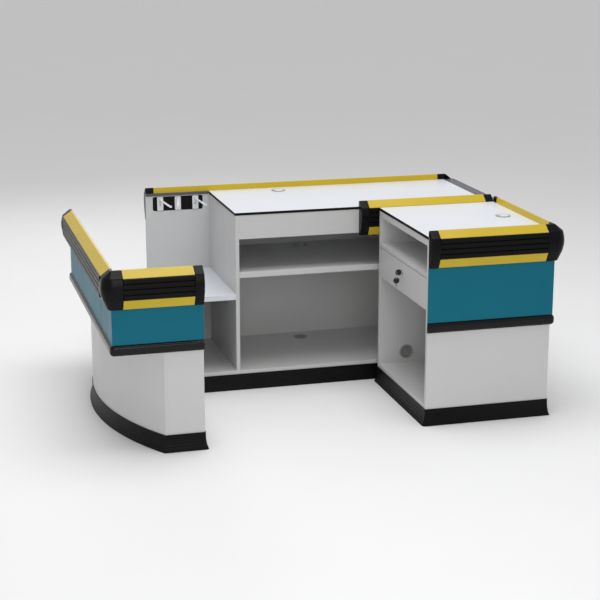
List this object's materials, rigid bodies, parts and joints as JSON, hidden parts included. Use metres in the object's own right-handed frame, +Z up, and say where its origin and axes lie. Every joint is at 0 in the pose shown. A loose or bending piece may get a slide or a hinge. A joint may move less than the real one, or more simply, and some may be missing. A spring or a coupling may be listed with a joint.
{
  "type": "checkout counter",
  "caption": "U-shaped supermarket checkout counter with a rounded end, bumper rails, a cashier wing with a locking drawer, and a low bagging wing with swinging bag hooks.",
  "frame": {"origin": "on the floor under the centre of the overall plan", "axes": "+Z up; customers pass on the -Y side; the rounded end and the cashier wing are on the -X side and the bagging wing is on the +X side"},
  "size_m": [2.044, 1.448, 0.877],
  "materials": {
    "white_board": "satin white melamine on board",
    "white_worktop": "semi-gloss white laminate on board",
    "teal_panel": "satin teal laminate on board",
    "grey_strip": "satin grey laminate on board",
    "black_edging": "satin",
    "black_skirting": "ribbed satin",
    "black_rail": "satin",
    "bumper_core": "mill finish",
    "bumper_band": "ribbed satin",
    "yellow_insert": "semi-gloss",
    "bumper_cap": "moulded satin",
    "zinc_steel": "zinc plated",
    "lock_metal": "bright",
    "key_head": "moulded head on a steel blade",
    "hook_rail_black": "ribbed satin",
    "white_hook": "white powder coat",
    "grommet_grey": "satin",
    "grommet_cap": "satin",
    "foot_black": "satin"
  },
  "bodies": {
    "counter": {"main_front_panel": "white_board", "main_rounded_panel": "white_board", "main_end_panels": "white_board", "main_floor_panel": "white_board", "main_shelf": "white_board", "main_apron": "white_board", "main_worktop": "white_worktop", "grey_strips": "grey_strip", "main_upper_panels": "teal_panel", "wing_outer_panel": "white_board", "wing_end_panel": "white_board", "wing_front_panel": "white_board", "wing_floor_panel": "white_board", "wing_shelf": "white_board", "wing_cross_rail": "white_board", "wing_worktop": "white_worktop", "wing_upper_panels": "teal_panel", "edge_mouldings": "black_edging", "plinth_boards": "white_board", "bag_front_panel": "white_board", "bag_bowed_panel": "white_board", "bag_rear_panel": "white_board", "bag_inner_panel": "white_board", "bag_floor_panel": "white_board", "bag_deck": "white_worktop", "guard_end_wall": "white_board", "guard_return_wall": "white_board", "guard_upper_panels": "teal_panel", "customer_skirting": "black_skirting", "bagging_skirting": "black_skirting", "cashier_skirting": "black_skirting", "wing_skirting": "black_skirting", "main_middle_rail": "black_rail", "wing_middle_rails": "black_rail", "fixing_screws": "zinc_steel", "bumper_cores": "bumper_core", "bumper_bands": "bumper_band", "bumper_upper_inserts": "yellow_insert", "bumper_lower_inserts": "yellow_insert", "bumper_corner_caps": "bumper_cap", "bumper_end_caps": "bumper_cap", "cabinet_runners": "zinc_steel", "drawer_catch": "zinc_steel", "hook_rail": "hook_rail_black", "hook_plates": "white_hook", "cable_grommets": "grommet_grey", "levelling_feet": "foot_black"},
    "drawer": {"drawer_front": "white_board", "drawer_box": "white_board", "drawer_bottom": "white_board", "drawer_runners": "zinc_steel", "lock_housing": "lock_metal"},
    "lock": {"lock_plug": "lock_metal", "drawer_key": "key_head"},
    "spare": {"spare_key": "key_head"},
    "hook_outer": {"hook_arm_outer": "white_hook"},
    "hook_middle": {"hook_arm_middle": "white_hook"},
    "hook_inner": {"hook_arm_inner": "white_hook"},
    "main_cap": {"main_grommet_cap": "grommet_cap"},
    "wing_cap": {"wing_grommet_cap": "grommet_cap"}
  },
  "joints": [
    {"name": "drawer_slide", "type": "slide", "parent": "counter", "child": "drawer", "axis": [1, 0, 0], "range_m": [0, 0.35]},
    {"name": "lock_turn", "type": "hinge", "parent": "drawer", "child": "lock", "pos_m": [-0.396, 0.3045, 0.618], "axis": [1, 0, 0], "range_deg": [0, 90]},
    {"name": "spare_key_swing", "type": "hinge", "parent": "lock", "child": "spare", "pos_m": [-0.368, 0.3045, 0.618], "axis": [0, -1, 0], "range_deg": [-15, 70]},
    {"name": "hook_outer_swing", "type": "hinge", "parent": "counter", "child": "hook_outer", "pos_m": [0.533, -0.647, 0.8185], "axis": [0, 0, -1], "range_deg": [-5, 80]},
    {"name": "hook_middle_swing", "type": "hinge", "parent": "counter", "child": "hook_middle", "pos_m": [0.445, -0.647, 0.8185], "axis": [0, 0, -1], "range_deg": [-36, 4]},
    {"name": "hook_inner_swing", "type": "hinge", "parent": "counter", "child": "hook_inner", "pos_m": [0.357, -0.647, 0.8185], "axis": [0, 0, -1], "range_deg": [-11, 34]},
    {"name": "main_cap_turn", "type": "hinge", "parent": "counter", "child": "main_cap", "pos_m": [-0.048, -0.585, 0.85], "axis": [0, 0, 1], "continuous": true},
    {"name": "wing_cap_turn", "type": "hinge", "parent": "counter", "child": "wing_cap", "pos_m": [-0.878, 0.3, 0.85], "axis": [0, 0, 1], "continuous": true}
  ]
}
